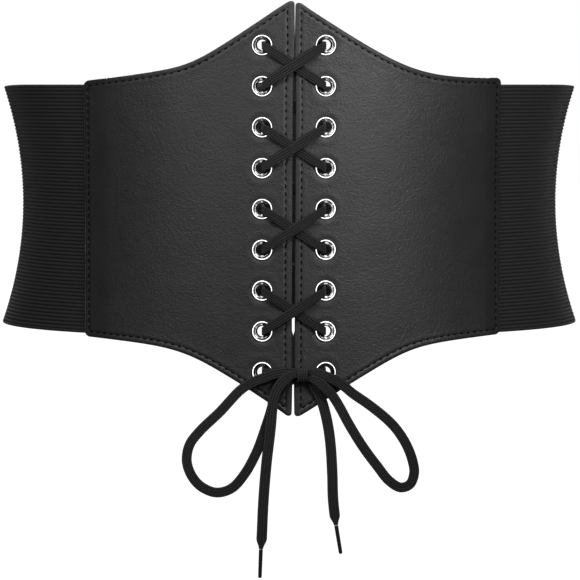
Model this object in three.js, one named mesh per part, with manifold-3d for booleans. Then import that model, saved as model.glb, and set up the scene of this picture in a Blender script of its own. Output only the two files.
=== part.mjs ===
// A lace-up corset belt, in millimetres, +Z up, its front towards -Y. Two stiff faux-leather panels
// meet at the centre front, wide elastic sides run round to a plain strip at the back, and one flat
// lace runs through nine eyelets a side to a bow. The origin is the middle of the waist, at its
// narrowest height.
import * as THREE from 'three';
import { mergeVertices } from 'three/addons/utils/BufferGeometryUtils.js';
import Module from 'manifold-3d';

const wasm = await Module();
wasm.setup();

// The space that pieces keep from each other
const clearance = 0.3;

// The body that the belt is shaped to: an ellipse at the waist that flares above and below it.
// The elastic's outer face lies on it.
const waistHalfWidth = 138.4;
const waistHalfDepth = 99;
const sideFlareRadius = 180;
const frontFlareRadius = 1400;
const backFlareRadius = 200;

// Walls
const leatherThickness = 1.8;
const elasticThickness = 1.5;

// Front panels: each edge slopes from the centre peak and bends softly into a nearly level run
const panelSideX = 103;
const panelTop = { peak: 100.7, slope: 0.66, side: 61.7, sideSlope: 0.048, softness: 8 };
const panelBottom = { peak: -103, slope: -0.65, side: -63.9, sideSlope: -0.043, softness: 8.5 };
const peakRadius = 2;
const cornerRadius = 2.6;
const frontGap = { middle: 1.4, ends: 0.6, endHeight: 90 };

// Elastic sides and the strip that closes them at the back
const elasticTop = 59.5;
const elasticBottom = -63.5;
const seamOverlap = 10;
const backSplit = 0.6;
const backStripWidth = 40;
const backStripEdge = 1.2;

// Eyelets
const eyeletRows = 9;
const eyeletPitch = 19.83;
const eyeletMiddleZ = -0.8;
const eyeletX = 15.4;
const eyeletHoleRadius = 2.5;
const eyeletWall = 0.45;
const eyeletFlangeRadius = 5.1;
const eyeletFlangeHeight = 0.9;
const eyeletBackRadius = 4.3;
const eyeletBackHeight = 0.6;
const eyeletSides = 12;

// Lace
const laceWidth = 4.4;
const bowLaceWidth = 4.9;
const tailWidth = 5.2;
const laceThickness = 1.8;
const agletRadius = 1;
const agletLength = 14;

// Knot, placed from the lowest eyelet row
const knotX = 4.1;
const knotDrop = 1.1;
const knotLength = 4.4;
const knotHalfHeight = 3;
const knotHalfDepth = 2.9;

const looks = {
  leather: { color: 0x262626, roughness: 0.5, metalness: 0 },
  elastic: { color: 0x1b1b1b, roughness: 0.9, metalness: 0 },
  lace: { color: 0x1d1d1d, roughness: 0.85, metalness: 0 },
  chrome: { color: 0xdcdcdc, roughness: 0.12, metalness: 1 },
  aglet: { color: 0x0d0d0d, roughness: 0.25, metalness: 0 },
};

const belt = new THREE.Group();

function addPiece(name, geometry, look) {
  const mesh = new THREE.Mesh(geometry, new THREE.MeshStandardMaterial(looks[look]));
  mesh.name = name;
  belt.add(mesh);
  return mesh;
}

// Body surface

function halfWidthAt(z, out) {
  return waistHalfWidth + (z * z) / (2 * sideFlareRadius) + out;
}

function halfDepthAt(z, out, flareRadius) {
  return waistHalfDepth + (z * z) / (2 * flareRadius) + out;
}

// The angle runs from 0 at the front, through +90 degrees at the +X side, to 180 degrees at the back
function bodyPoint(angle, z, out) {
  const front = Math.cos(angle) > 0;
  const halfDepth = halfDepthAt(z, out, front ? frontFlareRadius : backFlareRadius);
  return new THREE.Vector3(
    halfWidthAt(z, out) * Math.sin(angle),
    -halfDepth * Math.cos(angle),
    z,
  );
}

function frontPoint(x, z, out) {
  return bodyPoint(Math.asin(x / halfWidthAt(z, out)), z, out);
}

function frontNormal(x, z, out) {
  const across = frontPoint(x + 0.5, z, out).sub(frontPoint(x - 0.5, z, out));
  const up = frontPoint(x, z + 0.5, out).sub(frontPoint(x, z - 0.5, out));
  return across.cross(up).normalize();
}

// Offsets of the faces from the body surface
const leatherInner = clearance;
const leatherOuter = leatherInner + leatherThickness;
const elasticInner = -elasticThickness;

// Walls: a closed grid between an outer and an inner face. point(u, v, out) gives a point of a face,
// with u running against the clock seen from above and v running up. All walls have as many rows, so
// that their facets lie side by side where they overlap.
const wallRows = 7;

function wallGeometry(columns, rows, point, innerOut, outerOut) {
  const places = [];
  for (const out of [outerOut, innerOut]) {
    for (let j = 0; j <= rows; j += 1) {
      for (let i = 0; i <= columns; i += 1) {
        places.push(...point(i / columns, j / rows, out));
      }
    }
  }
  const faceSize = (columns + 1) * (rows + 1);
  const outer = (i, j) => j * (columns + 1) + i;
  const inner = (i, j) => faceSize + outer(i, j);
  const faces = [];
  const quad = (a, b, c, d) => faces.push(a, b, c, a, c, d);
  for (let j = 0; j < rows; j += 1) {
    for (let i = 0; i < columns; i += 1) {
      quad(outer(i, j), outer(i + 1, j), outer(i + 1, j + 1), outer(i, j + 1));
      quad(inner(i, j), inner(i, j + 1), inner(i + 1, j + 1), inner(i + 1, j));
    }
  }
  for (let i = 0; i < columns; i += 1) {
    quad(outer(i, 0), inner(i, 0), inner(i + 1, 0), outer(i + 1, 0));
    quad(outer(i, rows), outer(i + 1, rows), inner(i + 1, rows), inner(i, rows));
  }
  for (let j = 0; j < rows; j += 1) {
    quad(outer(0, j), outer(0, j + 1), inner(0, j + 1), inner(0, j));
    quad(outer(columns, j), inner(columns, j), inner(columns, j + 1), outer(columns, j + 1));
  }
  const geometry = new THREE.BufferGeometry();
  geometry.setAttribute('position', new THREE.Float32BufferAttribute(places, 3));
  geometry.setIndex(faces);
  geometry.computeVertexNormals();
  return geometry;
}

// How far a rounded corner falls short of the square one, at a distance from the corner's side
function cornerDrop(distance, radius) {
  const inside = Math.max(radius - distance, 0);
  return radius - Math.sqrt(radius * radius - inside * inside);
}

// Height of a panel's top or bottom edge: two straight runs joined by a soft bend
function edgeHeight(edge, x) {
  const away = Math.sign(edge.peak);
  const slope = edge.peak - edge.slope * x;
  const level = edge.side + edge.sideSlope * (panelSideX - x);
  const bend = Math.hypot(slope - level, edge.softness) / 2;
  const rounded = cornerDrop(x - frontGap.ends / 2, peakRadius)
    + cornerDrop(panelSideX - x, cornerRadius);
  return (slope + level) / 2 + away * (bend - rounded);
}

function gapEdgeX(z) {
  const share = Math.min((z / frontGap.endHeight) ** 2, 1);
  return (frontGap.middle + (frontGap.ends - frontGap.middle) * share) / 2;
}

// Distances of a panel's columns from the centre line: close together round the peak and the corner
function panelColumns() {
  const start = frontGap.ends / 2;
  const bends = 2;
  const straight = 10;
  const distances = [];
  for (let k = 0; k < bends; k += 1) {
    distances.push(start + peakRadius * (1 - Math.cos((k / bends) * (Math.PI / 2))));
  }
  const from = start + peakRadius;
  const to = panelSideX - cornerRadius;
  for (let k = 0; k <= straight; k += 1) {
    distances.push(from + ((to - from) * k) / straight);
  }
  for (let k = 1; k <= bends; k += 1) {
    distances.push(to + cornerRadius * Math.sin((k / bends) * (Math.PI / 2)));
  }
  return distances;
}

function panelBlank(side) {
  const distances = panelColumns();
  const columns = distances.length - 1;
  const point = (u, v, out) => {
    const column = Math.round((side > 0 ? u : 1 - u) * columns);
    const along = distances[column];
    const z = THREE.MathUtils.lerp(edgeHeight(panelBottom, along), edgeHeight(panelTop, along), v);
    const inset = (gapEdgeX(z) - frontGap.ends / 2) * (1 - along / panelSideX);
    return frontPoint(side * (along + inset), z, out);
  };
  return wallGeometry(columns, wallRows, point, leatherInner, leatherOuter);
}

// Eyelet places

function eyeletZ(row) {
  return eyeletMiddleZ + ((eyeletRows - 1) / 2 - row) * eyeletPitch;
}

function placeOnPanel(object, side, row) {
  const x = side * eyeletX;
  const z = eyeletZ(row);
  object.position.copy(frontPoint(x, z, leatherOuter));
  object.quaternion.setFromUnitVectors(new THREE.Vector3(0, 1, 0), frontNormal(x, z, leatherOuter));
  object.updateMatrix();
}

// Booleans

function toSolid(geometry) {
  const bare = geometry.clone();
  bare.deleteAttribute('normal');
  bare.deleteAttribute('uv');
  const merged = mergeVertices(bare, 1e-4);
  return new wasm.Manifold(new wasm.Mesh({
    numProp: 3,
    vertProperties: new Float32Array(merged.attributes.position.array),
    triVerts: new Uint32Array(merged.index.array),
  }));
}

function toGeometry(solid) {
  const mesh = solid.getMesh();
  const geometry = new THREE.BufferGeometry();
  geometry.setAttribute('position', new THREE.BufferAttribute(mesh.vertProperties, 3));
  geometry.setIndex(new THREE.BufferAttribute(mesh.triVerts, 1));
  geometry.computeVertexNormals();
  return geometry;
}

function makePanel(side) {
  const holeRadius = eyeletHoleRadius + eyeletWall + clearance;
  const cutterLength = 3 * leatherThickness;
  let panel = toSolid(panelBlank(side));
  for (let row = 0; row < eyeletRows; row += 1) {
    const cutter = new THREE.Mesh(
      new THREE.CylinderGeometry(holeRadius, holeRadius, cutterLength, eyeletSides),
    );
    placeOnPanel(cutter, side, row);
    panel = panel.subtract(toSolid(cutter.geometry.clone().applyMatrix4(cutter.matrix)));
  }
  return toGeometry(panel);
}

// A rolled rim in front of the leather, a tube through it and a flatter rim behind it
function eyeletGeometry() {
  const tube = eyeletHoleRadius + eyeletWall;
  const front = clearance + eyeletFlangeHeight;
  const back = -leatherThickness - clearance;
  const rimAt = (share) => THREE.MathUtils.lerp(eyeletHoleRadius, eyeletFlangeRadius, share);
  const profile = [
    [eyeletHoleRadius, back - eyeletBackHeight],
    [eyeletBackRadius, back],
    [tube, back],
    [tube, clearance],
    [eyeletFlangeRadius, clearance],
    [rimAt(0.74), front - 0.15 * eyeletFlangeHeight],
    [rimAt(0.32), front],
    [eyeletHoleRadius, front - 0.65 * eyeletFlangeHeight],
    [eyeletHoleRadius, back - eyeletBackHeight],
  ];
  return new THREE.LatheGeometry(profile.map(([r, h]) => new THREE.Vector2(r, h)), eyeletSides);
}

// Elastic sides and back strip

function makeElastic(side) {
  const start = (z) => Math.asin((panelSideX - seamOverlap) / halfWidthAt(z, 0));
  const end = Math.PI - backSplit / 2 / waistHalfWidth;
  const point = (u, v, out) => {
    const z = THREE.MathUtils.lerp(elasticBottom, elasticTop, v);
    const angle = THREE.MathUtils.lerp(start(z), end, side > 0 ? u : 1 - u);
    return bodyPoint(side * angle, z, out);
  };
  return wallGeometry(18, wallRows, point, elasticInner, 0);
}

function makeBackStrip() {
  const reach = backStripWidth / 2 / waistHalfWidth;
  const point = (u, v, out) => {
    const z = THREE.MathUtils.lerp(elasticBottom - backStripEdge, elasticTop + backStripEdge, v);
    return bodyPoint(Math.PI + THREE.MathUtils.lerp(-reach, reach, u), z, out);
  };
  return wallGeometry(4, wallRows, point, leatherInner, leatherOuter);
}

// Flat lace: an eight-sided section swept along stations { point, tangent, width }. A station with no
// tangent takes it from its neighbours. Its width is a share of the full width, which lies along
// widthOf's direction.

class LaceRoute extends THREE.Curve {
  constructor(stations, widthOf) {
    super();
    this.stations = stations;
    this.widthOf = widthOf;
  }

  getSpacedPoints() {
    return this.stations.map((station) => station.point);
  }

  // The frame's vectors carry each station's share of the width
  computeFrenetFrames() {
    const tangents = [];
    const normals = [];
    const binormals = [];
    const last = this.stations.length - 1;
    this.stations.forEach((station, i) => {
      const before = this.stations[Math.max(i - 1, 0)].point;
      const after = this.stations[Math.min(i + 1, last)].point;
      const tangent = station.tangent ?? after.clone().sub(before).normalize();
      const across = this.widthOf(tangent).normalize();
      tangents.push(tangent);
      normals.push(across.clone().cross(tangent));
      binormals.push(across.multiplyScalar(station.width ?? 1));
    });
    return { tangents, normals, binormals };
  }
}

function laceSection(width) {
  const w = width / 2;
  const t = laceThickness / 2;
  const flat = 0.7 * w;
  const edge = 0.45 * t;
  const shape = new THREE.Shape();
  shape.setFromPoints([
    [t, -flat], [t, flat], [edge, w], [-edge, w],
    [-t, flat], [-t, -flat], [-edge, -w], [edge, -w],
  ].map(([x, y]) => new THREE.Vector2(x, y)));
  return shape;
}

function sweepLace(route, width) {
  return new THREE.ExtrudeGeometry(laceSection(width), {
    steps: route.stations.length - 1,
    extrudePath: route,
  });
}

// The lacing keeps its width upright, and the bow lies flat against the front
function upright(tangent) {
  const up = new THREE.Vector3(0, 0, 1);
  return up.addScaledVector(tangent, -up.dot(tangent));
}

function flatToFront(tangent) {
  return tangent.clone().cross(new THREE.Vector3(0, -1, 0));
}

// Knot's centre, beside the lowest eyelets and clear of the lace that comes from them
const knotZ = eyeletZ(eyeletRows - 1) - knotDrop;
const knotCentre = frontPoint(knotX, knotZ, leatherOuter + 2 * clearance + knotHalfDepth);

// Lacing

// How the lace climbs out of a hole over the rim: distances as shares of the rim's radius, and
// heights as shares of the height at which it clears the rim
const laceRise = [
  { along: 0.08, height: 0.15, width: 0.54 },
  { along: 0.27, height: 0.84, width: 0.6 },
  { along: 0.68, height: 1, width: 0.88 },
];
const holeShift = 0.2 * eyeletHoleRadius;
const holeWidth = 0.6;
const rimHeight = clearance + eyeletFlangeHeight + 1.2 * clearance + laceThickness / 2;
const restHeight = clearance + laceThickness / 2;
const crossReach = 4.5;
const underHeight = restHeight + 0.3;
const overHeight = underHeight + laceThickness + clearance + 0.1;

// A point in front of the panels, or behind them, at a height over the face that it lies on
function lacePoint(x, z, height, inFront) {
  return frontPoint(x, z, inFront ? leatherOuter + height : leatherInner - height);
}

function holeStation(side, row) {
  const x = side * (eyeletX - holeShift);
  return { point: frontPoint(x, eyeletZ(row), (leatherInner + leatherOuter) / 2), width: holeWidth };
}

function holeCentre(hole) {
  return new THREE.Vector2(hole.side * eyeletX, eyeletZ(hole.row));
}

// The climb out of one hole towards a target
function climb(from, towards, inFront) {
  return laceRise.map((step) => {
    const at = from.clone().addScaledVector(towards, step.along * eyeletFlangeRadius);
    return { point: lacePoint(at.x, at.y, step.height * rimHeight, inFront), width: step.width };
  });
}

// One span of lace from hole to hole, without the two stations inside the holes
function laceSpan(from, to, inFront, crossHeight) {
  const start = holeCentre(from);
  const end = holeCentre(to);
  const towards = end.clone().sub(start).normalize();
  const half = start.distanceTo(end) / 2;
  const middle = [-crossReach, 0, crossReach].map((along) => {
    const at = start.clone().addScaledVector(towards, half + along);
    return { point: lacePoint(at.x, at.y, crossHeight, inFront) };
  });
  return [
    ...climb(start, towards, inFront),
    ...middle,
    ...climb(end, towards.clone().negate(), inFront).reverse(),
  ];
}

// The lace's half that leaves the top row on one side and crosses at every row. The half that leaves
// the top right hole lies over the other one.
function laceHalf(topSide) {
  const crossHeight = topSide > 0 ? overHeight : underHeight;
  const stations = [holeStation(topSide, 0)];
  for (let row = 1; row < eyeletRows; row += 1) {
    const side = row % 2 === 0 ? topSide : -topSide;
    const from = { side: -side, row: row - 1 };
    const to = { side, row };
    stations.push(...laceSpan(from, to, row % 2 === 1, crossHeight), holeStation(side, row));
  }
  return stations;
}

// From the lowest hole to the knot's side, under the bow
function laceToKnot(side) {
  const hole = holeCentre({ side, row: eyeletRows - 1 });
  const towards = new THREE.Vector2(-side, 0);
  const knotSide = knotX + side * (knotLength / 2 + clearance);
  const pastRim = hole.x - side * 1.1 * eyeletFlangeRadius;
  const raise = knotHalfHeight / 2;
  const stations = [
    { share: 0, height: rimHeight - clearance, width: 1 },
    { share: 0.5, height: restHeight + 0.1, width: 0.8 },
    { share: 1, height: restHeight, width: 0.58 },
  ];
  return [
    ...climb(hole, towards, true),
    ...stations.map(({ share, height, width }) => ({
      point: lacePoint(
        THREE.MathUtils.lerp(pastRim, knotSide, share),
        THREE.MathUtils.lerp(hole.y, knotZ + raise, share),
        height,
        true,
      ),
      width,
    })),
  ];
}

function makeLace() {
  const top = laceSpan({ side: -1, row: 0 }, { side: 1, row: 0 }, false, restHeight);
  return sweepLace(new LaceRoute([
    ...laceToKnot(-1).reverse(),
    ...laceHalf(-1).reverse(),
    ...top,
    ...laceHalf(1),
    ...laceToKnot(1),
  ], upright), laceWidth);
}

// Bow. Routes are chosen points, as distances from the knot's centre: to the right, towards the
// viewer and up. Each starts at the knot's side.
const leftLoopRoute = [
  [-2.5, 0.1, 1.6], [-4.4, 0.1, 1.7], [-8.5, 0.5, 1.5], [-14.4, 0.9, 0.5],
  [-18.9, 0.7, -1.2], [-22.6, 0.4, -2.6], [-29.7, -0.4, -6.9], [-40.2, -0.8, -18.0],
  [-49.9, -0.8, -27.3], [-54.9, -0.8, -34.0], [-56.3, -0.8, -41.9], [-53.9, -0.8, -49.2],
  [-49.1, -0.8, -54.6], [-41.9, -0.8, -57.4], [-34.6, -0.8, -55.4], [-28.2, -0.8, -48.4],
  [-22.5, -0.8, -38.0], [-19.5, -0.8, -30.2], [-17.5, -0.8, -24.2], [-15.8, -0.8, -19.0],
  [-14.4, -0.8, -14.2], [-11.8, -0.8, -9.0], [-8.1, -1.1, -4.8], [-5.2, -1.5, -2.7],
  [-3.9, -1.6, -2.0], [-2.5, -1.6, -1.7],
];
const leftTailRoute = [
  [-2.6, 2.1, 0.6], [-3.9, 2.3, 0.6], [-5.7, 2.6, 0.2], [-8.1, 2.8, -1.4],
  [-10.3, 2.9, -3.6], [-12.2, 2.9, -6.3], [-13.6, 2.9, -9.4], [-14.4, 2.8, -12.9],
  [-14.9, 2.8, -17.2], [-15.6, 2.6, -25.7], [-17.6, 2.0, -43.0], [-19.1, 1.2, -62.0],
  [-19.9, 0.8, -79.4], [-20.3, 0.6, -84.9],
];
const rightTailRoute = [
  [2.5, -1.6, -1.7], [3.6, -1.6, -1.9], [5.4, -1.4, -4.6], [7.9, -1.2, -9.0],
  [10.0, -1.2, -14.8], [12.0, -1.2, -22.8], [13.5, -1.2, -32.7], [14.5, -1.2, -47.8],
  [14.9, -1.2, -60.7], [15.9, -1.2, -70.2], [16.4, -1.2, -73.6],
];
const rightLoopRoute = [
  [2.6, 1.2, -1.5], [3.9, 1.4, -1.6], [6.9, 2.6, -2.6], [9.9, 2.9, -5.0],
  [12.9, 2.8, -7.9], [15.3, 2.4, -11.0], [18.4, 1.8, -16.2], [21.9, 1.2, -22.8],
  [29.2, 0.6, -34.8], [36.4, 0.2, -44.6], [42.1, 0.0, -51.7], [47.8, -0.2, -55.1],
  [52.3, -0.4, -53.6], [54.4, -0.6, -48.0], [53.4, -0.8, -41.4], [50.1, -0.8, -33.3],
  [45.2, -0.8, -26.0], [40.4, -0.8, -21.1], [32.3, -0.8, -14.6], [24.2, -0.3, -8.9],
  [19.4, 0.3, -4.9], [13.0, 0.8, -1.2], [7.5, 0.6, 0.8], [4.4, 0.1, 1.5],
  [2.5, 0.1, 1.6],
];

const agletEnds = { left: [-0.5, 0, -14.1], right: [2.3, 0, -14.1] };

// Widths along a bow piece: gathered into the knot, and drawn in towards an aglet
function bowWidth(distance, total, isTail) {
  const gathered = 0.56;
  const gatherLength = 9;
  const drawnIn = 0.4;
  const drawnLength = 5;
  const ease = (share) => THREE.MathUtils.smoothstep(share, 0, 1);
  const fromEnd = total - distance;
  const start = THREE.MathUtils.lerp(gathered, 1, ease(distance / gatherLength));
  const end = isTail
    ? THREE.MathUtils.lerp(drawnIn, 1, ease(fromEnd / drawnLength))
    : THREE.MathUtils.lerp(gathered, 1, ease(fromEnd / gatherLength));
  return Math.min(start, end);
}

function bowPoint([right, forward, up]) {
  return knotCentre.clone().add(new THREE.Vector3(right, -forward, up));
}

function bowStations(route, steps, isTail) {
  const curve = new THREE.CatmullRomCurve3(route.map(bowPoint), false, 'centripetal');
  const total = curve.getLength();
  return curve.getSpacedPoints(steps).map((point, i) => ({
    point,
    tangent: curve.getTangentAt(i / steps),
    width: bowWidth((i / steps) * total, total, isTail),
  }));
}

function makeLoop(route) {
  return sweepLace(new LaceRoute(bowStations(route, 24, false), flatToFront), bowLaceWidth);
}

function makeTail(route) {
  return sweepLace(new LaceRoute(bowStations(route, 13, true), flatToFront), tailWidth);
}

function addAglet(name, route, end) {
  const direction = new THREE.Vector3(...end).normalize();
  const rod = new THREE.CylinderGeometry(agletRadius, agletRadius, agletLength, 10);
  const aglet = addPiece(name, rod, 'aglet');
  aglet.quaternion.setFromUnitVectors(new THREE.Vector3(0, 1, 0), direction);
  aglet.position.copy(bowPoint(route.at(-1)));
  aglet.position.addScaledVector(direction, clearance + agletLength / 2);
}

// The wrap of lace round the bow's middle, turned about its own axis along X
function addKnot() {
  const half = knotLength / 2;
  const profile = [[0, -half], [0.9, -half], [1, -0.6 * half], [1, 0.6 * half], [0.9, half], [0, half]];
  const points = profile.map(([share, along]) => new THREE.Vector2(share * knotHalfHeight, along));
  const knot = addPiece('bow_knot', new THREE.LatheGeometry(points, 12), 'lace');
  knot.rotation.z = -Math.PI / 2;
  knot.scale.x = knotHalfDepth / knotHalfHeight;
  knot.position.copy(knotCentre);
}

// Assembly

const sides = [{ name: 'left', sign: -1 }, { name: 'right', sign: 1 }];

for (const { name, sign } of sides) {
  addPiece(`panel_${name}`, makePanel(sign), 'leather');
  addPiece(`elastic_${name}`, makeElastic(sign), 'elastic');
  for (let row = 0; row < eyeletRows; row += 1) {
    placeOnPanel(addPiece(`eyelet_${name}_${row + 1}`, eyeletGeometry(), 'chrome'), sign, row);
  }
}
addPiece('back_strip', makeBackStrip(), 'leather');
addPiece('lace', makeLace(), 'lace');
addKnot();
addPiece('bow_loop_left', makeLoop(leftLoopRoute), 'lace');
addPiece('bow_loop_right', makeLoop(rightLoopRoute), 'lace');
addPiece('lace_tail_left', makeTail(leftTailRoute), 'lace');
addPiece('lace_tail_right', makeTail(rightTailRoute), 'lace');
addAglet('aglet_left', leftTailRoute, agletEnds.left);
addAglet('aglet_right', rightTailRoute, agletEnds.right);

export default belt;
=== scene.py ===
# A lace-up corset belt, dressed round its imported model. Metres, +Z up, its front towards -Y.
import math

import bpy
import numpy as np
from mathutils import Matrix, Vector, noise


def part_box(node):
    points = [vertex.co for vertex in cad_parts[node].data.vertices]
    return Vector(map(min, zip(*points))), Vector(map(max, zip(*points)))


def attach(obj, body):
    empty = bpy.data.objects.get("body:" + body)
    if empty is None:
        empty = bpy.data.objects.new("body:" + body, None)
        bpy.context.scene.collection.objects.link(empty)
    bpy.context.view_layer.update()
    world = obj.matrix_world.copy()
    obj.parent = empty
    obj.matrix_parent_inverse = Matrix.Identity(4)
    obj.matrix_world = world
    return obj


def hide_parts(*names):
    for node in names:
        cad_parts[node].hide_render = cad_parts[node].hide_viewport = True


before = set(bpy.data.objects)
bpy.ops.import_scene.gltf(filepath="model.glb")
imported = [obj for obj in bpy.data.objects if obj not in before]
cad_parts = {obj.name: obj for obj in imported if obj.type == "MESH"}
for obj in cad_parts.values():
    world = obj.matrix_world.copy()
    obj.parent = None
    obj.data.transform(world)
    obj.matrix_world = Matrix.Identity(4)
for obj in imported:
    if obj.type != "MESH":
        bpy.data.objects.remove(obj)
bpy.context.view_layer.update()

mm = 0.001
body = "root"
sides = {"left": -1, "right": 1}

# The surface that the belt is shaped to: an ellipse at the waist that flares above and below it
waist_half_width = 138.4 * mm
waist_half_depth = 99.0 * mm
side_flare_radius = 180.0 * mm
front_flare_radius = 1400.0 * mm
back_flare_radius = 200.0 * mm

# Faces of the walls, as distances out from that surface
clearance = 0.3 * mm
leather_thickness = 1.8 * mm
elastic_thickness = 1.5 * mm
leather_inner = clearance
leather_outer = leather_inner + leather_thickness

# Outline of the front panels, which pull a little differently on the two sides
panel_side_x = 103.0 * mm
panel_top = {
    "left": {"peak": 101.1 * mm, "slope": 0.683, "softness": 7.1 * mm,
             "side": 60.8 * mm, "side_slope": 0.112},
    "right": {"peak": 99.2 * mm, "slope": 0.673, "softness": 16.2 * mm,
              "side": 60.8 * mm, "side_slope": -0.044},
}
panel_bottom = {
    "left": {"peak": -102.2 * mm, "slope": -0.693, "softness": 12.3 * mm,
             "side": -63.8 * mm, "side_slope": -0.042},
    "right": {"peak": -102.8 * mm, "slope": -0.645, "softness": 9.2 * mm,
              "side": -63.4 * mm, "side_slope": -0.052},
}
peak_radius = 3.5 * mm
corner_radius = 2.6 * mm
# The gap between the panels as they are planned, before their front edges move
gap_ends = 0.6 * mm
# How far the front edges lie apart on the panels' faces and on their backs: (height, width), in
# millimetres
gap_widths = [(-103, 1.3), (-96, 1.0), (-86, 0.7), (-80, 1.2), (45, 1.4), (64, 1.3), (67, 0.1), (82, 0.1),
              (100, 0.4)]
gap_back_widths = [(-103, 1.3), (-96, 1.0), (-86, 0.7), (-81, 0), (-62, 0), (-60, 1.4), (45, 1.4), (56, 1.3),
                   (58, 0), (82, 0), (100, 0.4)]
# The belt is laced a little askew, so its centre line leans to the right on its way up
gap_lean = 0.005
lean_reach = 9.0 * mm
# How far a panel's face sinks at its side seam, and over what width
side_roll = {
    "left": {"depth": 1.6 * mm, "width": 16.0 * mm},
    "right": {"depth": 1.5 * mm, "width": 10.0 * mm},
}
# Leather is turned over at its edges, more sharply where the two panels meet
leather_turn_radius = 0.8 * mm
front_sharpness = 2.5

# Elastic sides and the strip over their ends
elastic_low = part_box("elastic_left")[0][2]
elastic_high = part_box("elastic_left")[1][2]
seam_overlap = 10.0 * mm
back_split = 0.6 * mm
strip_half_width = 20.0 * mm
strip_edge = 1.2 * mm
rib_pitch = 1.81 * mm
rib_depth = 0.5 * mm
selvedge_height = 1.5 * mm
elastic_worn_length = 282 * mm
# The upper selvedge sinks a little at the side of the waist
side_sink = {"depth": 1.0 * mm, "from": 65, "to": 95}

# Stitching
stitch_pitch = 3.65 * mm
stitch_length = 2.1 * mm
thread_radius = 0.52 * mm
stitch_inset = {"top": 2.5 * mm, "bottom": 2.75 * mm, "side": 2.7 * mm}
front_inset = {"left": 3.6 * mm, "right": 3.4 * mm}

# Eyelets
eyelet_rows = 9
eyelet_x = 15.4 * mm
eyelet_hole_radius = 2.5 * mm
eyelet_rim_radius = 5.1 * mm
panel_hole_radius = 3.4 * mm

# Lace
lace_width = 4.9 * mm
bow_lace_width = 4.9 * mm
tail_width = 5.2 * mm
lace_thickness = 1.8 * mm
lace_spacing = 0.62 * mm
bow_spacing = 0.7 * mm
lace_ridges = 4
ridge_depth = 0.3
aglet_radius = 1.0 * mm
knot_half_height = 3.5 * mm
knot_half_depth = 3.6 * mm


def add_object(name, data):
    made = bpy.data.objects.new(name, data)
    bpy.context.scene.collection.objects.link(made)
    return made


# Camera

def add_camera():
    camera = add_object("camera", bpy.data.cameras.new("camera"))
    camera.location = (-0.031, -1.491, 0.0592)
    tilt = math.radians(4.09)
    yaw = math.radians(1.2)
    camera.rotation_euler = (math.pi / 2 - tilt, 0, -yaw)
    camera.data.lens = 177.9
    camera.data.sensor_width = 36
    bpy.context.scene.camera = camera


# Body surface

def half_width_at(z, out=0.0):
    return waist_half_width + z * z / (2 * side_flare_radius) + out


def body_points(angle, z, out):
    """Points at an angle round the body, 0 at the front and +90 degrees at the +X side."""
    flare = np.where(np.cos(angle) > 0, front_flare_radius, back_flare_radius)
    half_depth = waist_half_depth + z * z / (2 * flare) + out
    across = half_width_at(z, out) * np.sin(angle)
    return np.stack(np.broadcast_arrays(across, -half_depth * np.cos(angle), z), axis=-1)


def front_points(x, z, out):
    return body_points(np.arcsin(x / half_width_at(z, out)), z, out)


def front_normal(x, z):
    step = 0.5 * mm
    across = front_points(x + step, z, 0.0) - front_points(x - step, z, 0.0)
    up = front_points(x, z + step, 0.0) - front_points(x, z - step, 0.0)
    return Vector(np.cross(across, up)).normalized()


# Meshes

def add_piece(name, points, faces, material, weave=None):
    """A piece from points and faces. weave gives each corner its place on the cloth."""
    mesh = bpy.data.meshes.new(name)
    mesh.from_pydata(np.asarray(points, float).reshape(-1, 3).tolist(), [], faces)
    if weave is not None:
        layer = mesh.uv_layers.new(name="weave")
        layer.data.foreach_set("uv", np.asarray(weave, np.float32).ravel())
    mesh.polygons.foreach_set("use_smooth", [True] * len(mesh.polygons))
    mesh.materials.append(material)
    mesh.update()
    piece = add_object(name, mesh)
    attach(piece, body)
    return piece


def wall_faces(kept):
    """Quads of a closed wall. kept[row, column] says which cells of the grid are there. The outer
    face's points come first, row by row, and then the inner face's."""
    rows, columns = kept.shape
    index = np.arange((rows + 1) * (columns + 1)).reshape(rows + 1, columns + 1)
    low_a, low_b = index[:-1, :-1], index[:-1, 1:]
    high_a, high_b = index[1:, :-1], index[1:, 1:]
    inner = index.size
    padded = np.pad(kept, 1)
    faces = [np.stack([low_a, low_b, high_b, high_a], -1)[kept],
             np.stack([low_a, high_a, high_b, low_b], -1)[kept] + inner]
    borders = [
        (padded[:-2, 1:-1], low_b, low_a),
        (padded[2:, 1:-1], high_a, high_b),
        (padded[1:-1, :-2], low_a, high_a),
        (padded[1:-1, 2:], high_b, low_b),
    ]
    for neighbour, first, second in borders:
        edge = kept & ~neighbour
        faces.append(np.stack([first, second, second + inner, first + inner], -1)[edge])
    return np.concatenate(faces)


def add_wall(name, outer, inner, material, weave, kept=None, flip=False):
    """A closed wall between two grids of points, row by row upwards. Its columns run to the right seen
    from outside, or are turned round by flip."""
    if kept is None:
        kept = np.ones((outer.shape[0] - 1, outer.shape[1] - 1), bool)
    if flip:
        outer, inner, weave, kept = (grid[:, ::-1] for grid in (outer, inner, weave, kept))
    faces = wall_faces(kept)
    points = np.concatenate([outer.reshape(-1, 3), inner.reshape(-1, 3)])
    used, packed = np.unique(faces, return_inverse=True)
    packed = packed.reshape(faces.shape)
    corners = np.concatenate([weave.reshape(-1, 2)] * 2)[faces.ravel()]
    return add_piece(name, points[used], packed.tolist(), material, corners)


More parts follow.
